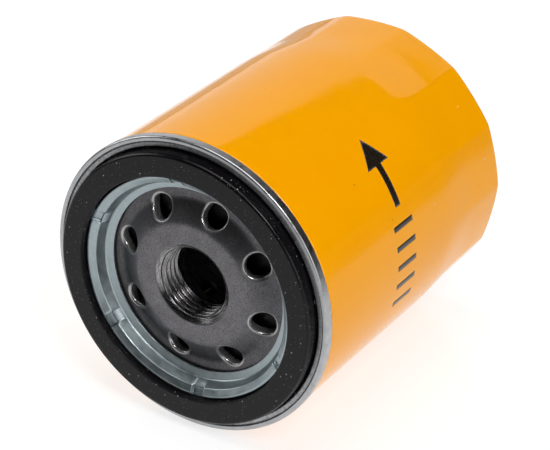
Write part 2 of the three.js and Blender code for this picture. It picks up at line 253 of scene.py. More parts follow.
def revolve(section, angles, warp=None, loop=True):
    """Points and quads of a section turned about the filter's axis. A warp moves the places."""
    section = np.array(section)
    columns, rows = len(angles), len(section)
    radius = np.tile(section[:, 0], (columns, 1))
    depth = np.tile(section[:, 1], (columns, 1))
    angle = np.tile(np.array(angles)[:, None], (1, rows))
    if warp:
        radius, angle, depth = warp(radius, angle, depth)
    joined = loop and section[0, 0] > 0
    i, j = np.meshgrid(np.arange(columns), np.arange(rows if joined else rows - 1), indexing="ij")
    i_next = (i + 1) % columns
    j_next = (j + 1) % rows
    quads = np.stack([i * rows + j, i_next * rows + j, i_next * rows + j_next, i * rows + j_next], -1)
    return to_frame(radius, angle, depth).reshape(-1, 3), quads.reshape(-1, 4).tolist()


def merged(*meshes):
    points, faces, offset = [], [], 0
    for p, f in meshes:
        points.append(p)
        faces += [[index + offset for index in face] for face in f]
        offset += len(p)
    return np.concatenate(points), faces


def add_object(name, data):
    made = bpy.data.objects.new(name, data)
    bpy.context.scene.collection.objects.link(made)
    return made


def add_piece(name, mesh_data, body, nodes, material):
    """Makes a closed, smooth-shaded piece that rides on a body and stands for CAD nodes."""
    points, faces = mesh_data
    mesh = bpy.data.meshes.new(name)
    mesh.from_pydata(points.tolist(), [], faces)
    bm = bmesh.new()
    bm.from_mesh(mesh)
    bmesh.ops.remove_doubles(bm, verts=bm.verts, dist=1e-6)
    bmesh.ops.recalc_face_normals(bm, faces=bm.faces)
    bm.to_mesh(mesh)
    bm.free()
    mesh.shade_smooth()
    mesh.materials.append(material)
    piece = add_object(name, mesh)
    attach(piece, body)
    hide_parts(*nodes)
    return piece


def triangulate(loops, filling, keep):
    """Triangles over flat points. The edges of the loops stay, and keep() picks triangles by their centre."""
    points, edges = [], []
    for ring in loops:
        start = len(points)
        points += [tuple(p) for p in ring]
        edges += [(start + k, start + (k + 1) % len(ring)) for k in range(len(ring))]
    points += [tuple(p) for p in filling]
    out_points, _, faces, *_ = delaunay_2d_cdt([Vector(p) for p in points], edges, [], 0, 1e-7)
    flat = np.array([tuple(p) for p in out_points])
    triangles = np.array([list(f) for f in faces])
    centres = flat[triangles].mean(1)
    return flat, triangles[keep(centres)]


def closed_sheet(top, bottom, triangles, left_open=None):
    """Joins two copies of a triangulated sheet round its edges, apart from edges between points left open."""
    shift = len(top)
    directed = dict.fromkeys(edge for a, b, c in triangles.tolist() for edge in ((a, b), (b, c), (c, a)))
    walls = [[b, a, a + shift, b + shift] for a, b in directed if (b, a) not in directed]
    if left_open is not None:
        walls = [wall for wall in walls if not (left_open[wall[0]] and left_open[wall[1]])]
    faces = triangles.tolist() + (triangles[:, ::-1] + shift).tolist() + walls
    return np.concatenate([top, bottom]), faces


def band(one, two, count):
    """Quads between two closed rings of points that start at two indices."""
    return [[one + i, one + (i + 1) % count, two + (i + 1) % count, two + i] for i in range(count)]


def swept(rings):
    """A solid through rings of points, closed by one face at each end."""
    count, last = len(rings[0]), (len(rings) - 1) * len(rings[0])
    faces = [quad for start in range(0, last, count) for quad in band(start, start + count, count)]
    faces += [list(range(count)), list(range(last, last + count))]
    return np.concatenate(rings), faces


# Shader helpers

RING_R = 30


def new_material(name, **sockets):
    """A Principled material with plain socket values; returns it with its tree and shader."""
    material = bpy.data.materials.new(name)
    material.use_nodes = True
    tree = material.node_tree
    shader = tree.nodes["Principled BSDF"]
    for socket, value in sockets.items():
        shader.inputs[socket.replace("_", " ")].default_value = value
    return material, tree, shader


def add_node(tree, kind, sockets=None, **settings):
    node = tree.nodes.new(kind)
    for key, value in settings.items():
        setattr(node, key, value)
    for key, value in (sockets or {}).items():
        target = node.inputs[key]
        if isinstance(value, bpy.types.NodeSocket):
            tree.links.new(value, target)
        else:
            target.default_value = value
    return node


def math_node(tree, operation, *values):
    return add_node(tree, "ShaderNodeMath", dict(enumerate(values)), operation=operation).outputs[0]


def times(tree, value, factor):
    return math_node(tree, "MULTIPLY", value, factor)


def length_of(tree, across, along):
    squares = math_node(tree, "ADD", times(tree, across, across), times(tree, along, along))
    return math_node(tree, "SQRT", squares)


def link(tree, output, shader, socket):
    tree.links.new(output, shader.inputs[socket])


def filter_coordinates(tree):
    """The place on the filter, in millimetres: as a vector, and as a radius, an angle and a depth."""
    place = add_node(tree, "ShaderNodeTexCoord").outputs["Object"]
    origin = (0, FACE * MM, AXIS * MM)
    moved = add_node(tree, "ShaderNodeVectorMath", {0: place, 1: origin}, operation="SUBTRACT").outputs[0]
    local = add_node(tree, "ShaderNodeVectorMath", {0: moved, "Scale": 1 / MM}, operation="SCALE").outputs[0]
    x, depth, z = add_node(tree, "ShaderNodeSeparateXYZ", {0: local}).outputs
    angle = math_node(tree, "ARCTAN2", z, x)
    return {"place": local, "radius": length_of(tree, x, z), "angle": angle, "depth": depth}


def ring_vector(tree, at, along, across):
    """Coordinates stretched round the axis: along and across are features per millimetre at RING_R."""
    turned = times(tree, at["angle"], RING_R * along)
    radius = times(tree, at["radius"], across)
    depth = times(tree, at["depth"], across)
    return add_node(tree, "ShaderNodeCombineXYZ", {0: turned, 1: radius, 2: depth}).outputs[0]


def noise(tree, vector, scale, detail=4.0, roughness=0.55):
    sockets = {"Vector": vector, "Scale": scale, "Detail": detail, "Roughness": roughness}
    return add_node(tree, "ShaderNodeTexNoise", sockets).outputs["Fac"]


def remap(tree, value, low, high, to_low, to_high, smooth=False):
    sockets = {"Value": value, "From Min": low, "From Max": high, "To Min": to_low, "To Max": to_high}
    kind = "SMOOTHSTEP" if smooth else "LINEAR"
    return add_node(tree, "ShaderNodeMapRange", sockets, interpolation_type=kind).outputs["Result"]


def spread(tree, pattern, to_low, to_high):
    """Stretches a noise pattern's usual range over two values."""
    return remap(tree, pattern, 0.3, 0.7, to_low, to_high)


def mix_colour(tree, share, first, second, blend="MIX"):
    made = add_node(tree, "ShaderNodeMix", data_type="RGBA", blend_type=blend)
    for key, value in ((0, share), (6, first), (7, second)):
        if isinstance(value, bpy.types.NodeSocket):
            tree.links.new(value, made.inputs[key])
        else:
            made.inputs[key].default_value = value if key == 0 else (*value, 1)
    return made.outputs[2]


def specks(tree, vector, scale, size, threshold):
    """Round specks: 1 inside, 0 outside. A cell has one if its random value passes the threshold."""
    cells = add_node(tree, "ShaderNodeTexVoronoi", {"Vector": vector, "Scale": scale, "Randomness": 1.0})
    near = math_node(tree, "LESS_THAN", cells.outputs["Distance"], size)
    red = add_node(tree, "ShaderNodeSeparateColor", {0: cells.outputs["Color"]}).outputs[0]
    return times(tree, near, math_node(tree, "GREATER_THAN", red, threshold))


def bump(tree, shader, *layers):
    """Chains bump layers of (height, distance in millimetres) into the shader's normal."""
    normal = None
    for height, distance in layers:
        sockets = {"Height": height, "Strength": 1.0, "Distance": distance * MM}
        if normal is not None:
            sockets["Normal"] = normal
        normal = add_node(tree, "ShaderNodeBump", sockets).outputs["Normal"]
    link(tree, normal, shader, "Normal")


def paint_material():
    material, tree, shader = new_material("can_enamel", IOR=1.4, Specular_IOR_Level=0.26)
    at = filter_coordinates(tree)
    cloud = noise(tree, at["place"], 0.06, 3)
    tone = mix_colour(tree, cloud, (0.86, 0.335, 0.0), (0.9, 0.365, 0.0))
    dust = specks(tree, at["place"], 0.16, 0.035, 0.55)
    tone = mix_colour(tree, times(tree, dust, 0.5), tone, (0.85, 0.75, 0.5))
    pits = specks(tree, at["place"], 0.13, 0.03, 0.6)
    tone = mix_colour(tree, times(tree, pits, 0.55), tone, (0.25, 0.09, 0.01))
    link(tree, tone, shader, "Base Color")
    gloss = noise(tree, at["place"], 0.35, 5)
    link(tree, spread(tree, gloss, 0.05, 0.12), shader, "Roughness")
    peel = noise(tree, at["place"], 0.9, 2, 0.4)
    wave = noise(tree, at["place"], 0.12, 1, 0.3)
    bump(tree, shader, (wave, 0.05), (peel, 0.0035), (dust, 0.02))
    return material


def print_material():
    material, tree, shader = new_material("printing_ink", IOR=1.5)
    at = filter_coordinates(tree)
    cloud = noise(tree, at["place"], 1.5, 4)
    link(tree, mix_colour(tree, cloud, (0.006, 0.005, 0.004), (0.02, 0.014, 0.008)), shader, "Base Color")
    link(tree, spread(tree, cloud, 0.16, 0.3), shader, "Roughness")
    bump(tree, shader, (noise(tree, at["place"], 4.0, 3), 0.004))
    return material


def cover_material():
    """Zinc plate on the flange and lip, turning to scuffed grey tinplate on the seam."""
    material, tree, shader = new_material("zinc_and_tinplate", Metallic=1.0)
    at = filter_coordinates(tree)
    seam = remap(tree, at["radius"], 31.0, 35.0, 0.0, 1.0)
    mottle = noise(tree, at["place"], 0.5, 6)
    zinc = mix_colour(tree, mottle, (0.24, 0.29, 0.31), (0.46, 0.53, 0.55))
    tin = mix_colour(tree, mottle, (0.26, 0.27, 0.28), (0.62, 0.62, 0.63))
    tone = mix_colour(tree, seam, zinc, tin)
    lines = noise(tree, ring_vector(tree, at, 0.05, 3.0), 1.0, 5, 0.7)
    tone = mix_colour(tree, remap(tree, lines, 0.35, 0.7, 0.2, 0.0), tone, (0.16, 0.17, 0.18))
    past_groove = math_node(tree, "GREATER_THAN", at["radius"], GROOVE_OUTER_R - 0.05)
    rough_band = times(tree, past_groove, math_node(tree, "LESS_THAN", at["radius"], BAND_OUTER_R + 0.3))
    hatch = noise(tree, ring_vector(tree, at, 2.2, 0.9), 1.0, 3, 0.8)
    hatched = times(tree, rough_band, remap(tree, hatch, 0.45, 0.62, 0.0, 1.0))
    tone = mix_colour(tree, times(tree, hatched, 0.45), tone, (0.08, 0.08, 0.085))
    link(tree, tone, shader, "Base Color")
    rough = spread(tree, mottle, 0.33, 0.45)
    rough = math_node(tree, "SUBTRACT", rough, times(tree, seam, 0.08))
    rough = math_node(tree, "ADD", rough, times(tree, rough_band, 0.14))
    link(tree, rough, shader, "Roughness")
    grain = noise(tree, at["place"], 7.0, 3)
    bump(tree, shader, (lines, 0.002), (grain, 0.004), (hatched, 0.03))
    return material


def near_inlet(tree, at):
    """1 on the punched edges of the plate's inlet holes, 0 away from them."""
    pitch = FULL_TURN / INLETS
    turned = math_node(tree, "SUBTRACT", at["angle"], INLET_PHASE)
    nearest = times(tree, math_node(tree, "ROUND", math_node(tree, "DIVIDE", turned, pitch)), pitch)
    off = math_node(tree, "SUBTRACT", turned, nearest)
    along = times(tree, at["radius"], math_node(tree, "COSINE", off))
    outward = math_node(tree, "SUBTRACT", along, INLET_CIRCLE_R)
    sideways = times(tree, at["radius"], math_node(tree, "SINE", off))
    distance = length_of(tree, outward, sideways)
    return remap(tree, distance, INLET_R + 0.2, INLET_R + 0.7, 1.0, 0.0, smooth=True)


def plate_material():
    material, tree, shader = new_material("phosphated_plate", Metallic=0.75)
    at = filter_coordinates(tree)
    cloud = noise(tree, at["place"], 0.22, 5)
    fine = noise(tree, at["place"], 2.6, 5, 0.7)
    tone = mix_colour(tree, cloud, (0.1, 0.096, 0.104), (0.245, 0.237, 0.25))
    tone = mix_colour(tree, remap(tree, fine, 0.42, 0.66, 0.0, 0.7), tone, (0.045, 0.043, 0.046))
    pits = specks(tree, at["place"], 0.9, 0.14, 0.7)
    tone = mix_colour(tree, times(tree, pits, 0.6), tone, (0.02, 0.02, 0.02))
    flecks = specks(tree, at["place"], 1.3, 0.16, 0.75)
    tone = mix_colour(tree, times(tree, flecks, 0.4), tone, (0.4, 0.38, 0.38))
    # Painted shade: the plate's colour darkens from the plateau towards the sloping rim.
    painted_rim_shade = remap(tree, at["radius"], PLATEAU_R - 3, RIM_START_R, 0.92, 0.62, smooth=True)
    tone = mix_colour(tree, 1.0, tone, painted_rim_shade, blend="MULTIPLY")
    # Painted highlight: the inlet holes' rounded edges are painted lighter, and are also made smoother.
    painted_edge_highlight = near_inlet(tree, at)
    tone = mix_colour(tree, times(tree, painted_edge_highlight, 0.75), tone, (0.5, 0.49, 0.49))
    link(tree, tone, shader, "Base Color")
    rough = spread(tree, fine, 0.27, 0.42)
    link(tree, remap(tree, painted_edge_highlight, 0, 1, rough, 0.24), shader, "Roughness")
    bump(tree, shader, (fine, 0.02), (cloud, 0.03))
    return material


def thread_material():
    material, tree, shader = new_material("cut_thread", Metallic=1.0)
    at = filter_coordinates(tree)
    lines = noise(tree, ring_vector(tree, at, 0.12, 3.5), 1.0, 5, 0.75)
    streaks = spread(tree, lines, 0.0, 1.0)
    link(tree, mix_colour(tree, streaks, (0.025, 0.024, 0.025), (0.42, 0.41, 0.415)), shader, "Base Color")
    link(tree, spread(tree, lines, 0.16, 0.32), shader, "Roughness")
    bump(tree, shader, (lines, 0.03))
    return material


def rubber_material(name, dusty):
    material, tree, shader = new_material(name, IOR=1.45, Specular_IOR_Level=0.26)
    at = filter_coordinates(tree)
    cloud = noise(tree, at["place"], 0.5, 5)
    tone = mix_colour(tree, cloud, (0.001, 0.0008, 0.0012), (0.004, 0.0032, 0.0045))
    if dusty:
        small = specks(tree, at["place"], 1.7, 0.2, 0.72)
        large = specks(tree, at["place"], 0.75, 0.12, 0.7)
        dust = math_node(tree, "MAXIMUM", times(tree, small, 0.16), times(tree, large, 0.6))
        tone = mix_colour(tree, dust, tone, (0.5, 0.46, 0.46))
    link(tree, tone, shader, "Base Color")
    fine = noise(tree, at["place"], 5.0, 4, 0.7)
    rubbed = remap(tree, at["radius"], GASKET_R - 1.0, GASKET_R - 0.5, 0.0, 0.16)
    rough = math_node(tree, "SUBTRACT", spread(tree, fine, 0.3, 0.46), rubbed)
    link(tree, rough, shader, "Roughness")
    bump(tree, shader, (fine, 0.02), (cloud, 0.05))
    return material


def plain_metal(name, dark, light, rough):
    """Drawn or stamped steel with faint lines round the filter's axis."""
    material, tree, shader = new_material(name, Metallic=1.0)
    at = filter_coordinates(tree)
    lines = noise(tree, ring_vector(tree, at, 0.08, 1.8), 1.0, 5, 0.7)
    link(tree, mix_colour(tree, lines, dark, light), shader, "Base Color")
    link(tree, spread(tree, lines, rough, rough + 0.16), shader, "Roughness")
    bump(tree, shader, (lines, 0.012))
    return material


def paper_material():
    material, tree, shader = new_material("pleated_paper", Roughness=0.85, IOR=1.4)
    at = filter_coordinates(tree)
    fibre = noise(tree, at["place"], 2.4, 6, 0.75)
    link(tree, mix_colour(tree, fibre, (0.5, 0.33, 0.13), (0.74, 0.56, 0.3)), shader, "Base Color")
    bump(tree, shader, (fibre, 0.05))
    return material


def potting_material():
    material, tree, shader = new_material("cured_adhesive", IOR=1.45)
    at = filter_coordinates(tree)
    cloud = noise(tree, at["place"], 0.6, 4)
    link(tree, mix_colour(tree, cloud, (0.3, 0.05, 0.035), (0.46, 0.09, 0.06)), shader, "Base Color")
    link(tree, spread(tree, cloud, 0.4, 0.7), shader, "Roughness")
    bump(tree, shader, (cloud, 0.08))
    return material


# Pieces

def pressed_flats(radius, angle, depth):
    """Draws the wall in a little towards the closed end and presses it to soft, bulging facets."""
    pitch = FULL_TURN / FLATS
    inward = 1 - (2 * from_nearest(angle, math.pi / 2, FLATS) / pitch) ** 2
    soft = (np.sqrt(inward**2 + FLAT_RIDGE**2) - FLAT_RIDGE) / (math.hypot(1, FLAT_RIDGE) - FLAT_RIDGE)
    on_wall = smoothstep(radius, END_PANEL_R + 2, CAN_R - SHOULDER_R)
    share = smoothstep(depth, FLAT_START, FLAT_FULL) * on_wall
    return radius - (END_TAPER + FLAT_DEPTH * soft) * share, angle, depth


def can_mesh():
    neck_r = CAN_R - 0.5
    inner_r = CAN_R - CAN_WALL
    panel = LENGTH - END_PANEL_DEPTH
    wall = [*np.arange(LENGTH - SHOULDER_R - 1, FLAT_START - 1, -0.7), *np.arange(FLAT_START - 3, 8, -6)]
    outside = [
        (0, panel), (14, panel), (14.6, panel + 0.35, 0.5), (16.4, panel + 0.35, 0.5), (17, panel, 0.5),
        (END_PANEL_R, panel, 1.0), (END_PANEL_R + 1.2, LENGTH, 0.8), (CAN_R, LENGTH, SHOULDER_R),
        *[(CAN_R, depth) for depth in wall], (CAN_R, 6.1, 0.5), (neck_r, 5.5, 0.3), (neck_r, CAN_EDGE),
    ]
    inside = [
        (neck_r - CAN_WALL, CAN_EDGE), (neck_r - CAN_WALL, 5.8, 0.3), (inner_r, 6.4, 0.5),
        *[(inner_r, depth) for depth in wall[::-1]], (inner_r, LENGTH - CAN_WALL, SHOULDER_R - CAN_WALL),
        (END_PANEL_R + 0.8, LENGTH - CAN_WALL, 0.5), (END_PANEL_R - 0.4, panel - CAN_WALL, 0.8),
        (0, panel - CAN_WALL),
    ]
    return revolve(rounded(outside + inside), turn_angles(FLATS * FLAT_COLUMNS), pressed_flats)


def crimp_share(radius, angle):
    """1 in the middle of each crimp of the cover's lip, 0 between them, with steep sides."""
    along = np.abs(from_nearest(angle, CRIMP_PHASE, CRIMPS)) * radius
    return 1 - smoothstep(along, CRIMP_HALF - 0.25, CRIMP_HALF)


def crimped(radius, angle, depth):
    """Sets the lip down and outwards at each crimp, and lets it spring back a little in between."""
    outside_lip = smoothstep(radius, LIP_OUTER_R - 0.1, LIP_OUTER_R + 0.05)
    on_lip = smoothstep(radius, 26.6, 27.1) * (1 - outside_lip)
    near_crest = on_lip * (1 - smoothstep(depth, 3.2, 4.4))
    share = crimp_share(radius, angle) * near_crest
    spring = np.cos(CRIMPS * (angle - CRIMP_PHASE)) * near_crest
    return radius + 0.35 * share + 0.12 * spring, angle, depth + 0.75 * share


def cover_mesh():
    front = [
        (FLANGE_R, GROOVE_DEPTH, 0.2), (25.85, 5.6, 0.3), (26.1, 5.3, 0.25), (26.9, 2.75, 0.5),
        (28.35, LIP_CREST, 0.6), (LIP_OUTER_R, LIP_CREST, 0.3), (LIP_OUTER_R, GROOVE_DEPTH, 0.4),
        (GROOVE_OUTER_R, GROOVE_DEPTH, 0.4), (GROOVE_OUTER_R, BAND_DEPTH, 0.3),
        (BAND_OUTER_R, BAND_DEPTH, 0.12),
        (BAND_OUTER_R + 0.07, BAND_DEPTH + 0.25, 0.06), (BAND_OUTER_R + 0.17, BAND_DEPTH + 0.25, 0.06),
        (BAND_OUTER_R + 0.27, CURL_CREST + 0.1, 0.12), (BAND_OUTER_R + 0.4, CURL_CREST, 0.15),
        (SEAM_R, CURL_CREST, 1.2), (SEAM_R, 5.25, 0.28), (38.05, 5.45),
    ]
    back = [
        (CURL_R, 5.4), (CURL_R, CURL_INSIDE_DEPTH, 0.2), (CURL_INSIDE_R, CURL_INSIDE_DEPTH, 0.2),
        (CURL_INSIDE_R, GROOVE_DEPTH + SHEET, 0.5),
        (LIP_OUTER_R - SHEET, GROOVE_DEPTH + SHEET, 0.4), (LIP_OUTER_R - SHEET, 2.5, 0.2), (27.4, 3.1, 0.3),
        (26.7, 5.6, 0.3), (26.2, 6.1, 0.3), (FLANGE_R, GROOVE_DEPTH + SHEET, 0.2),
    ]
    angles = list(turn_angles(240))
    edge = CRIMP_HALF / LIP_OUTER_R
    for middle in CRIMP_PHASE + turn_angles(CRIMPS):
        for side in (-1, 1):
            angles += list(middle + side * np.linspace(0.84 * edge, 1.06 * edge, 7))
    return revolve(rounded(front + back), sorted(a % FULL_TURN for a in angles), crimped)


def gasket_mesh():
    low, high = depths("gasket")
    return revolve(rounded([
        (GASKET_INNER_R, low, 0.35), (GASKET_R, low, 0.8), (GASKET_R, high, 0.3), (GASKET_INNER_R, high, 0.3),
    ]), turn_angles(240))


PLATE_FACE = rounded([
    (THREAD_MINOR_R, PLATEAU_DEPTH), (PLATEAU_R, PLATEAU_DEPTH, 3.5), (RIM_START_R, RIM_DEPTH, 3.5),
    (PLATE_R, RIM_DEPTH),
], loop=False)
PLATE_SLOPE = math.atan2(RIM_DEPTH - PLATEAU_DEPTH, RIM_START_R - PLATEAU_R)


def plate_place(flat, below):
    """Points of the plate for flat (x, z) points, set a distance below its face along the face's normal."""
    radius, angle = polar(flat)
    depth = np.interp(radius, PLATE_FACE[:, 0], PLATE_FACE[:, 1])
    slope = np.arctan2(change(radius, PLATE_FACE[:, 0], PLATE_FACE[:, 1]), 2 * PROFILE_STEP)
    return to_frame(radius - np.sin(slope) * below, angle, depth + np.cos(slope) * below)


def hole_distance(flat):
    """Distance from each flat point to the nearest inlet hole's centre, measured along the plate's slope."""
    radius, angle = polar(flat)
    off = from_nearest(angle, INLET_PHASE, INLETS)
    outward = (radius * np.cos(off) - INLET_CIRCLE_R) / math.cos(PLATE_SLOPE)
    return np.hypot(outward, radius * np.sin(off))


def edge_drop(distance, radius):
    """How far a rounded hole edge falls below the face at a distance from the hole's centre."""
    into = np.clip(INLET_R + radius - distance, 0, radius)
    return radius - np.sqrt(radius**2 - into**2)


def inlet_ring(middle, radius):
    """Flat points of a circle on the plate's slope, round the inlet hole at an angle."""
    around = turn_angles(INLET_COLUMNS)
    outward = INLET_CIRCLE_R + math.cos(PLATE_SLOPE) * radius * np.cos(around)
    sideways = radius * np.sin(around)
    x = outward * math.cos(middle) - sideways * math.sin(middle)
    z = outward * math.sin(middle) + sideways * math.cos(middle)
    return np.stack([x, z], -1)


def circle(radius, around):
    return radius * np.stack([np.cos(around), np.sin(around)], -1)


def base_plate_mesh():
    loops = [circle(radius, turn_angles(PLATE_COLUMNS)) for radius in (NECK_BLEND_R, PLATE_R)]
    filling = []
    for middle in INLET_PHASE + turn_angles(INLETS):
        loops.append(inlet_ring(middle, INLET_R))
        for offset in (0.02, 0.07, 0.15, 0.26, 0.4, 0.56, INLET_EDGE, 0.95):
            filling += list(inlet_ring(middle, INLET_R + offset))
    for row, radius in enumerate(np.arange(NECK_BLEND_R + 0.5, PLATE_R - 0.4, 0.55)):
        ring = circle(radius, turn_angles(PLATE_COLUMNS) + (row % 2) * math.pi / PLATE_COLUMNS)
        filling += list(ring[hole_distance(ring) > INLET_R + 1.25])

    def on_plate(centres):
        radius, _ = polar(centres)
        inside = (radius > NECK_BLEND_R + 0.02) & (radius < PLATE_R)
        return inside & (hole_distance(centres) > INLET_R - 0.005)

    flat, triangles = triangulate(loops, filling, on_plate)
    away = hole_distance(flat)
    front = plate_place(flat, edge_drop(away, INLET_EDGE))
    back = plate_place(flat, PLATE_T - edge_drop(away, 0.25))
    beside_neck = polar(flat)[0] < NECK_BLEND_R + 0.01
    return merged(closed_sheet(front, back, triangles, beside_neck), neck_mesh())


def neck_mesh():
    """The open sleeve that turns the plate's middle into a mouth and a threaded neck."""
    start = MOUTH_R - THREAD_MAJOR_R + PLATEAU_DEPTH
    rows = np.arange(start + 0.15, NECK_END - 0.3, THREAD_PITCH / 18)
    section = [
        (NECK_BLEND_R, PLATEAU_DEPTH), (MOUTH_R + 0.35, PLATEAU_DEPTH, 0.7), (THREAD_MAJOR_R, start),
        *[(THREAD_MAJOR_R, depth) for depth in rows],
        (THREAD_MAJOR_R, NECK_END, 0.2), (NECK_R, NECK_END, 0.4), (NECK_R, PLATEAU_DEPTH + PLATE_T, 0.5),
        (NECK_BLEND_R, PLATEAU_DEPTH + PLATE_T),
    ]

    def threaded(radius, angle, depth):
        turn = (depth / THREAD_PITCH + angle / FULL_TURN) % 1
        ridge = np.clip((1 - np.abs(2 * turn - 1)) * 1.35 - 0.12, 0, 1)
        run_out = smoothstep(depth, NECK_END - 0.9, NECK_END - 0.3)
        run_in = smoothstep(depth, start - 0.1, start + 0.8)
        height = (THREAD_MAJOR_R - THREAD_MINOR_R) * run_in * (1 - run_out)
        in_bore = radius < THREAD_MAJOR_R + 0.05
        return np.where(in_bore, radius - height * ridge, radius), angle, depth

    return revolve(rounded(section, loop=False), turn_angles(PLATE_COLUMNS), threaded, loop=False)


def finish_bore(plate, bare_metal):
    """Gives the faces of the threaded bore their own, cut-metal material."""
    plate.data.materials.append(bare_metal)
    for face in plate.data.polygons:
        x, y, z = face.center / MM
        if math.hypot(x, z - AXIS) < MOUTH_R - 0.25 and y - FACE > PLATEAU_DEPTH + 0.35:
            face.material_index = 1


# Printed marking: a plain tightening arrow with a row of tick bars, in place of lettering

MARK_DEPTH = 40.5
MARK_START = math.radians(51)
MARK_SPACING = 0.5


def bar(start, end, half):
    return [(start, -half), (end, -half), (end, half), (start, half)]


MARKS = [
    [(0, 0), (7.5, -4.6), (7.5, -1.1), (18.5, -1.1), (18.5, 1.1), (7.5, 1.1), (7.5, 4.6)],
    *[bar(start, start + 1.4, 4.3) for start in (22.5, 27.6, 32.7, 37.8, 42.9)],
]


def inside_outline(points, outline):
    inside = np.zeros(len(points), bool)
    for (u0, v0), (u1, v1) in zip(outline, outline[1:] + outline[:1]):
        if v0 == v1:
            continue
        crosses = (points[:, 1] < v0) != (points[:, 1] < v1)
        at = u0 + (points[:, 1] - v0) * (u1 - u0) / (v1 - v0)
        inside ^= crosses & (points[:, 0] < at)
    return inside


def mark_mesh(outline):
    """A thin printed shape that follows the can's wall: points are (arc length, depth)."""
    edge = []
    for start, end in zip(outline, outline[1:] + outline[:1]):
        count = max(1, round(math.dist(start, end) / MARK_SPACING))
        edge += [np.array(start) + (np.array(end) - start) * k / count for k in range(count)]
    edge = np.array(edge)
    low, high = edge.min(0) + 0.4, edge.max(0)
    columns, rows = (np.arange(low[k], high[k], MARK_SPACING) for k in range(2))
    grid = np.array([(u, v) for u in columns for v in rows])
    grid = grid[inside_outline(grid, outline)]
    clear = [point for point in grid if np.min(np.hypot(*(edge - point).T)) > MARK_SPACING / 2]
    flat, triangles = triangulate([edge], clear, lambda centres: inside_outline(centres, outline))
    angle = MARK_START - flat[:, 0] / CAN_R
    depth = MARK_DEPTH + flat[:, 1]
    top, bottom = (to_frame(np.full(len(flat), CAN_R + rise), angle, depth) for rise in (0.03, -0.1))
    return closed_sheet(top, bottom, triangles)


# Inside the can

def ring_mesh(node, inner_r, edge):
    """A plain ring with eased edges, as deep and as wide as its CAD node."""
    low, high = depths(node)
    outer_r = outer_radius(node)
    return revolve(rounded([
        (inner_r, low, edge), (outer_r, low, edge), (outer_r, high, edge), (inner_r, high, edge),
    ]), turn_angles(128))


def valve_hub_mesh():
    """The anti-drain valve's rubber sleeve, with a waist and two sealing beads in its bore."""
    low, high = depths("antidrain_hub")
    outer_r = outer_radius("antidrain_hub")
    waist_r = outer_r - 0.5
    bore_r = NECK_R + GAP
    middle = (low + high) / 2
    return revolve(rounded([
        (bore_r, low, 0.3), (outer_r, low, 0.4), (outer_r, low + 1.4, 0.4), (waist_r, low + 2.1, 0.5),
        (waist_r, high - 2.1, 0.5), (outer_r, high - 1.4, 0.4), (outer_r, high, 0.4), (bore_r, high, 0.3),
        (bore_r, middle + 1.6, 0.3), (bore_r + 0.35, middle + 1.1, 0.3), (bore_r + 0.35, middle - 1.1, 0.3),
        (bore_r, middle - 1.6, 0.3),
    ]), turn_angles(128))


def valve_lip_mesh():
    """The anti-drain valve's thin flap: a shallow dish with a stiffening bead and a feathered edge."""
    low, high = depths("antidrain_lip")
    outer_r = outer_radius("antidrain_lip")
    return revolve(rounded([
        (LIP_ROOT_R, low, 0.3), (18, low + 0.28, 3), (22, low + 0.62, 3), (outer_r, low + 0.65, 0.25),
        (outer_r, high - 0.62, 0.25), (25.5, high - 0.32, 2), (22.6, high, 0.8), (21.4, high, 0.8),
        (19, high - 0.5, 1), (LIP_ROOT_R, high - 0.62, 0.3),
    ]), turn_angles(160))


def end_cap_mesh(node, direction):
    """A pressed end cap: turned-up rims, and a shallow ring pressed into its outer face."""
    low, high = depths(node)
    outer_r, rim = outer_radius(node), high - low
    face = low if direction > 0 else high

    def at(distance):
        return face + direction * distance

    return revolve(rounded([
        (CAP_HOLE_R, at(0), 0.9), (19, at(0), 0.4), (19.4, at(0.22), 0.3), (24.6, at(0.22), 0.3),
        (25, at(0), 0.4), (outer_r, at(0), 1.0), (outer_r, at(rim), 0.25), (outer_r - SHEET, at(rim), 0.25),
        (outer_r - SHEET, at(SHEET), 0.45), (CAP_HOLE_R + SHEET, at(SHEET), 0.35),
        (CAP_HOLE_R + SHEET, at(rim), 0.25), (CAP_HOLE_R, at(rim), 0.25),
    ]), turn_angles(160))


def adhesive_mesh(node):
    """A poured ring of adhesive. Its rims sag unevenly."""
    def sagging(radius, angle, depth):
        uneven = 0.12 * np.sin(7 * angle + 0.4) + 0.08 * np.sin(17 * angle)
        at_rim = smoothstep(np.abs(radius - MEDIA_MIDDLE_R), 7.4, 8.6)
        return radius - (0.2 + uneven) * at_rim * np.sign(radius - MEDIA_MIDDLE_R), angle, depth

    low, high = depths(node)
    return revolve(rounded([
        (POTTING_INNER_R, low, 0.45), (outer_radius(node), low, 0.45), (outer_radius(node), high, 0.45),
        (POTTING_INNER_R, high, 0.45),
    ]), turn_angles(240), sagging)


def poppet_mesh():
    low, high = depths("bypass_poppet")
    outer_r = outer_radius("bypass_poppet")
    return revolve(rounded([
        (0, high), (3.4, high), (3.8, high - 0.2, 0.2), (POPPET_NECK_R + 1.2, high - 0.2, 0.2),
        (POPPET_NECK_R + 1.6, high, 0.2), (outer_r, high, 0.25), (outer_r, high - SHEET, 0.25),
        (POPPET_NECK_R, high - SHEET, 0.4), (POPPET_NECK_R - 0.4, high - 1.8, 0.4),
        (STEM_R, high - 2.2, 0.5), (STEM_R, low + 0.5, 0.3), (STEM_R - 0.5, low, 0.2), (0, low),
    ]), turn_angles(96))


def welded(flat, triangles, period):
    """Joins the two ends of an unrolled sheet and any other double points."""
    wrapped = np.stack([np.mod(flat[:, 0] + 1e-3, period), flat[:, 1]], -1)
    keys = np.round(wrapped * 1e4).astype(np.int64)
    _, first, lookup = np.unique(keys, axis=0, return_index=True, return_inverse=True)
    return flat[first], lookup.reshape(-1)[triangles]


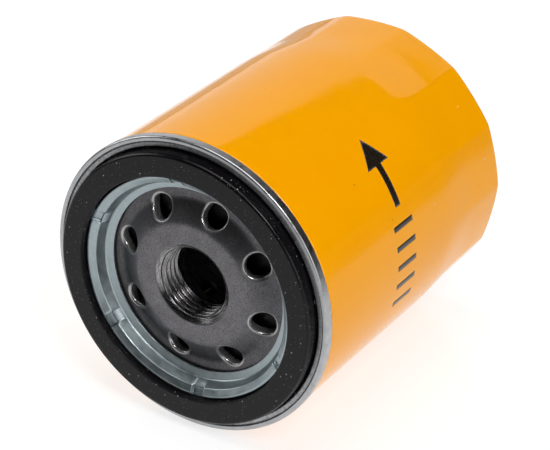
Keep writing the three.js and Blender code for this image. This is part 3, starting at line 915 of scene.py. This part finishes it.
def pierced_shell(profile, thickness, outlines, seam, spacing):
    """A turned sheet with openings. The profile is its outer side, as (radius, depth) points. Outlines are
    rings of (angle, length along the profile) points. The seam is an angle that no opening crosses."""
    profile = np.array(profile)
    length = np.concatenate([[0], np.cumsum(np.hypot(*np.diff(profile, axis=0).T))])
    scale = profile[:, 0].max()
    around = FULL_TURN * scale
    columns = round(around / spacing)
    rows = round(length[-1] / spacing)
    across = np.arange(columns + 1) * around / columns
    along = np.arange(rows + 1) * length[-1] / rows
    frame_loop = [(x, 0) for x in across] + [(around, y) for y in along[1:]]
    frame_loop += [(x, along[-1]) for x in across[-2::-1]] + [(0, y) for y in along[-2:0:-1]]
    openings = [np.stack([((ring[:, 0] - seam) % FULL_TURN) * scale, ring[:, 1]], -1) for ring in outlines]
    edges = np.concatenate(openings)
    filling = []
    for y in along[1:-1]:
        row = np.stack([across[1:-1], np.full(columns - 1, y)], -1)
        near = np.hypot(*(row[:, None] - edges).transpose(2, 0, 1)).min(1)
        filling += list(row[near > 0.6 * spacing])

    def on_sheet(centres):
        kept = np.ones(len(centres), bool)
        for opening in openings:
            kept &= ~inside_outline(centres, [tuple(p) for p in opening])
        return kept

    flat, triangles = triangulate([frame_loop, *openings], filling, on_sheet)
    flat, triangles = welded(flat, triangles, around)
    radius = np.interp(flat[:, 1], length, profile[:, 0])
    depth = np.interp(flat[:, 1], length, profile[:, 1])
    rise_r = change(flat[:, 1], length, profile[:, 0])
    rise_d = change(flat[:, 1], length, profile[:, 1])
    size = np.hypot(rise_r, rise_d)
    angle = flat[:, 0] / scale + seam
    outer = to_frame(radius, angle, depth)
    inner = to_frame(radius - thickness * rise_d / size, angle, depth + thickness * rise_r / size)
    return closed_sheet(outer, inner, triangles)


def tube_mesh():
    """The centre tube: rows of round holes, every second row staggered."""
    low, high = depths("center_tube")
    radius = outer_radius("center_tube")
    around = turn_angles(32)
    holes = []
    for row in range(TUBE_ROWS):
        middle = (row + 0.5) * (high - low) / TUBE_ROWS
        for column in range(TUBE_COLUMNS):
            turn = (column + (row % 2) / 2) * FULL_TURN / TUBE_COLUMNS
            ring = [turn + TUBE_HOLE_R * np.cos(around) / radius, middle + TUBE_HOLE_R * np.sin(around)]
            holes.append(np.stack(ring, -1))
    profile = [(radius, depth) for depth in np.linspace(low, high, 61)]
    return pierced_shell(profile, TUBE_WALL, holes, FULL_TURN / TUBE_COLUMNS / 4, 0.9)


def window_outline(turn, low, high, radius):
    """A rounded rectangle in the cage's wall, as (angle, length) points."""
    points = []
    half = WINDOW_HALF * radius - WINDOW_CORNER
    tall = (high - low) / 2 - WINDOW_CORNER
    for x_sign, y_sign, start in ((1, 1, 0), (-1, 1, 90), (-1, -1, 180), (1, -1, 270)):
        for k in range(7):
            a = math.radians(start + 15 * k)
            x = x_sign * half + WINDOW_CORNER * math.cos(a)
            y = (high + low) / 2 + y_sign * tall + WINDOW_CORNER * math.sin(a)
            points.append((turn + x / radius, y))
    return np.array(points)


def cage_mesh():
    """The bypass valve's cage: a cup with a hole for the stem and three windows in its wall."""
    low, high = depths("bypass_cage")
    radius = outer_radius("bypass_cage")
    profile = rounded([(STEM_R + STEM_CLEARANCE, low), (radius, low, 1.2), (radius, high)], loop=False)
    fine = [profile[0]]
    for point in profile[1:]:
        parts = max(1, round(np.linalg.norm(point - fine[-1]) / 0.6))
        fine += [fine[-1] + (point - fine[-1]) * k / parts for k in range(1, parts + 1)]
    total = np.sum(np.hypot(*np.diff(np.array(fine), axis=0).T))
    wall_start = total - (high - low)
    low_edge, high_edge = wall_start + WINDOW_FRAME, total - WINDOW_FRAME
    windows = [window_outline(turn, low_edge, high_edge, radius) for turn in turn_angles(WINDOWS)]
    return pierced_shell(fine, TUBE_WALL, windows, FULL_TURN / WINDOWS / 2, 0.7)


def media_mesh():
    """Filter paper folded into pleats: a rounded zigzag with the paper's own thickness."""
    outer_r = outer_radius("pleated_media") - PAPER_T / 2
    inner_r = MEDIA_INNER_R + PAPER_T / 2
    turn = turn_angles(PLEATS * PLEAT_COLUMNS)
    wave = np.arcsin(PLEAT_SHARPNESS * np.cos(PLEATS * turn)) / math.asin(PLEAT_SHARPNESS)
    radius = (outer_r + inner_r) / 2 + (outer_r - inner_r) / 2 * wave
    line = np.stack([radius * np.cos(turn), radius * np.sin(turn)], -1)
    ahead = np.roll(line, -1, 0) - np.roll(line, 1, 0)
    ahead /= np.linalg.norm(ahead, axis=1)[:, None]
    aside = np.stack([ahead[:, 1], -ahead[:, 0]], -1) * PAPER_T / 2
    levels = np.linspace(*depths("pleated_media"), PLEAT_ROWS + 1)
    count, side = len(line), len(line) * len(levels)
    points = []
    for flat in (line + aside, line - aside):
        points += [to_frame(*polar(flat), level) for level in levels]
    faces = []
    for start in (0, side):
        for k in range(PLEAT_ROWS):
            faces += band(start + k * count, start + (k + 1) * count, count)
    for edge in (0, side - count):
        faces += band(edge, side + edge, count)
    return np.concatenate(points), faces


def clip_mesh():
    """A strip folded to a U, crimped at even steps, that holds the two ends of the paper together."""
    half = CLIP_T / 2
    slot = half - CLIP_SHEET
    bend_r = CLIP_OUTER_R - half
    bend = [(bend_r + half * math.cos(a), half * math.sin(a)) for a in np.linspace(-1.57, 1.57, 13)]
    inner_bend = [(bend_r + slot * math.cos(a), slot * math.sin(a)) for a in np.linspace(1.57, -1.57, 9)]
    tips = [(CLIP_INNER_R, side) for side in (-half, half, slot, -slot)]
    outline = np.array([tips[0], *bend, tips[1], tips[2], *inner_bend, tips[3]])
    rings = []
    for k, level in enumerate(np.linspace(*depths("pleat_clip"), CLIP_PINCHES * PINCH_ROWS + 1)):
        off = k % PINCH_ROWS - PINCH_ROWS / 2
        pinch = 1 - CLIP_PINCH * np.exp(-(off / 2) ** 2) * (outline[:, 0] < CLIP_OUTER_R - 1)
        radius, angle = polar(np.stack([outline[:, 0], outline[:, 1] * pinch], -1))
        rings.append(to_frame(radius, angle + CLIP_TURN, level))
    return swept(rings)


def coil_mesh(node, start_r, wire, turns):
    """A coil spring. Each end has a closed turn that is ground thin towards its tip."""
    low, high = depths(node)
    end_r = outer_radius(node) - wire / 2
    steps = round(COIL_STEPS * turns)
    at = np.arange(steps + 1) / steps * turns
    rise = np.clip((at - CLOSED_TURNS) / (turns - 2 * CLOSED_TURNS), 0, 1)
    from_tip = np.minimum(at, turns - at)
    thin = 1 - 0.6 * (1 - smoothstep(from_tip, 0, 0.7))
    sink = (1 - thin) * wire / 2 * np.where(at < turns / 2, -1, 1)
    radius = start_r + (end_r - start_r) * rise
    depth = low + wire / 2 + (high - low - wire) * rise + sink
    around = turn_angles(COIL_SIDES)
    rings = []
    for k in range(steps + 1):
        r = radius[k] + wire / 2 * thin[k] * np.cos(around)
        d = depth[k] + wire / 2 * thin[k] * np.sin(around)
        rings.append(to_frame(r, np.full(COIL_SIDES, FULL_TURN * at[k]), d))
    return swept(rings)


def press_spring(spring):
    """Gives a spring a mesh of its own."""
    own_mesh(spring)


# The pieces, each with its mesh, body, CAD nodes and material

steel = plain_metal("bright_steel", (0.3, 0.3, 0.3), (0.6, 0.6, 0.6), 0.22)
spring_wire = plain_metal("spring_wire", (0.14, 0.14, 0.15), (0.34, 0.34, 0.36), 0.24)
valve_rubber = rubber_material("valve_rubber", False)
adhesive = potting_material()
front_cap = end_cap_mesh("upper_end_cap", 1)
back_cap = end_cap_mesh("lower_end_cap", -1)
seat_ring = ring_mesh("bypass_seat", SEAT_HOLE_R, 0.25)
seal_ring = ring_mesh("bypass_seal", SEAL_INNER_R, 0.2)
poppet_coil = coil_mesh("bypass_spring", POPPET_COIL_R, POPPET_WIRE, 6)
cone_coil = coil_mesh("support_spring", CONE_START_R, CONE_WIRE, 4)
markings = merged(*[mark_mesh(outline) for outline in MARKS])

add_piece("can_body", can_mesh(), "housing", ["can"], paint_material())
add_piece("can_marking", markings, "housing", [], print_material())
add_piece("seamed_cover", cover_mesh(), "housing", ["cover"], cover_material())
gasket_rubber = rubber_material("gasket_rubber", True)
add_piece("sealing_ring", gasket_mesh(), "housing", ["gasket"], gasket_rubber)
phosphate, plate_mesh = plate_material(), base_plate_mesh()
plate = add_piece("threaded_plate", plate_mesh, "housing", ["base_plate"], phosphate)
finish_bore(plate, thread_material())

add_piece("valve_hub", valve_hub_mesh(), "housing", ["antidrain_hub"], valve_rubber)
add_piece("valve_flap", valve_lip_mesh(), "flap", ["antidrain_lip"], valve_rubber)
add_piece("front_end_cap", front_cap, "element", ["upper_end_cap"], steel)
add_piece("back_end_cap", back_cap, "element", ["lower_end_cap"], steel)
for end, node in (("front", "upper_adhesive"), ("back", "lower_adhesive")):
    add_piece(f"{end}_adhesive", adhesive_mesh(node), "element", [node], adhesive)
add_piece("core_tube", tube_mesh(), "element", ["center_tube"], steel)
add_piece("paper_pleats", media_mesh(), "element", ["pleated_media"], paper_material())
add_piece("paper_clip", clip_mesh(), "element", ["pleat_clip"], steel)
add_piece("valve_seat", seat_ring, "element", ["bypass_seat"], steel)
add_piece("valve_cage", cage_mesh(), "element", ["bypass_cage"], steel)
add_piece("valve_poppet", poppet_mesh(), "poppet", ["bypass_poppet"], steel)
add_piece("valve_seal", seal_ring, "poppet", ["bypass_seal"], valve_rubber)

coil = add_piece("poppet_spring", poppet_coil, "element", ["bypass_spring"], spring_wire)
press_spring(coil)
cone = add_piece("cone_spring", cone_coil, "housing", ["support_spring"], spring_wire)
press_spring(cone)


# Studio

FLOOR_HALF = 3.0
GLOW = 0.73
FAR_GLOW = 0.05
GLOW_START = 0.24
GLOW_END = 0.4
CAMERA_AZIMUTH = 32.61
CAMERA_ELEVATION = 28.62
CAMERA_TARGET = Vector((14.47, -26.72, 52.25)) * MM
CAMERA_DISTANCE = 482 * MM
CAMERA_LENS = 134.6


def floor_material():
    """A pale table with a painted glow round the filter that fades with distance."""
    material, tree, shader = new_material("studio_floor", IOR=1.45, Specular_IOR_Level=0.2)
    shader.inputs["Emission Color"].default_value = (1, 1, 1, 1)
    place = add_node(tree, "ShaderNodeTexCoord").outputs["Object"]
    distance = add_node(tree, "ShaderNodeVectorMath", {0: place}, operation="LENGTH").outputs["Value"]
    glow = remap(tree, distance, GLOW_START, GLOW_END, GLOW, FAR_GLOW, smooth=True)
    link(tree, glow, shader, "Emission Strength")
    cloud = noise(tree, place, 6.0, 3)
    link(tree, mix_colour(tree, cloud, (0.31, 0.31, 0.31), (0.34, 0.34, 0.34)), shader, "Base Color")
    link(tree, spread(tree, cloud, 0.22, 0.3), shader, "Roughness")
    return material


def add_floor():
    mesh = bpy.data.meshes.new("floor")
    corners = [(-1, -1), (1, -1), (1, 1), (-1, 1)]
    mesh.from_pydata([(FLOOR_HALF * x, FLOOR_HALF * y, 0) for x, y in corners], [], [(0, 1, 2, 3)])
    mesh.materials.append(floor_material())
    floor = add_object("floor", mesh)


def direction(azimuth, elevation):
    """Unit vector from the filter towards a studio direction; azimuth 0 is -Y and 90 is +X."""
    a, e = math.radians(azimuth), math.radians(elevation)
    return Vector((math.sin(a) * math.cos(e), -math.cos(a) * math.cos(e), math.sin(e)))


def add_panel(name, azimuth, elevation, distance, width, height, radiance, flat=False):
    """A softbox that faces the filter. Its radiance doesn't change with its size."""
    light = bpy.data.lights.new(name, "AREA")
    light.shape = "RECTANGLE"
    light.size = width
    light.size_y = height
    light.energy = radiance * math.pi * width * height
    panel = add_object(name, light)
    toward = direction(azimuth, elevation)
    panel.location = Vector((0, 0, AXIS * MM)) + toward * distance
    facing = Vector((toward.x, toward.y, 0)) if flat else toward
    panel.rotation_euler = facing.to_track_quat("Z", "Y").to_euler()


def add_camera():
    camera = add_object("camera", bpy.data.cameras.new("camera"))
    camera.data.sensor_width = 36
    camera.data.lens = CAMERA_LENS
    camera.data.clip_start = 0.01
    back = direction(CAMERA_AZIMUTH, CAMERA_ELEVATION)
    camera.location = CAMERA_TARGET + back * CAMERA_DISTANCE
    camera.rotation_euler = back.to_track_quat("Z", "Y").to_euler()
    bpy.context.scene.camera = camera


def set_world(high, low):
    """A dark studio with a pale band behind the edge of the table."""
    world = bpy.data.worlds.new("studio_air")
    world.use_nodes = True
    tree = world.node_tree
    background = tree.nodes["Background"]
    background.inputs["Color"].default_value = (1, 1, 1, 1)
    toward_sky = add_node(tree, "ShaderNodeTexCoord").outputs["Generated"]
    split = add_node(tree, "ShaderNodeSeparateXYZ", {0: toward_sky})
    glow = remap(tree, split.outputs["Z"], 0.03, 0.09, low, high, smooth=True)
    tree.links.new(glow, background.inputs["Strength"])
    bpy.context.scene.world = world


add_floor()
add_camera()
set_world(0.003, 0.12)
add_panel("back_left_panel", -160, 21.6, 1.2, 1.58, 0.92, 1.0, flat=True)
add_panel("overhead_softbox", 0, 88, 1.1, 0.8, 0.7, 3.6)
add_panel("key_lamp", 52, 47, 0.9, 0.26, 0.26, 17.0)
add_panel("right_softbox", 88, 14, 1.2, 0.7, 0.55, 0.9)
add_panel("front_right_softbox", 68, 14, 1.2, 0.7, 0.55, 1.9)
add_panel("left_softbox", -78, 26, 1.2, 0.8, 0.6, 3.0)
bpy.context.scene.view_settings.view_transform = "Standard"
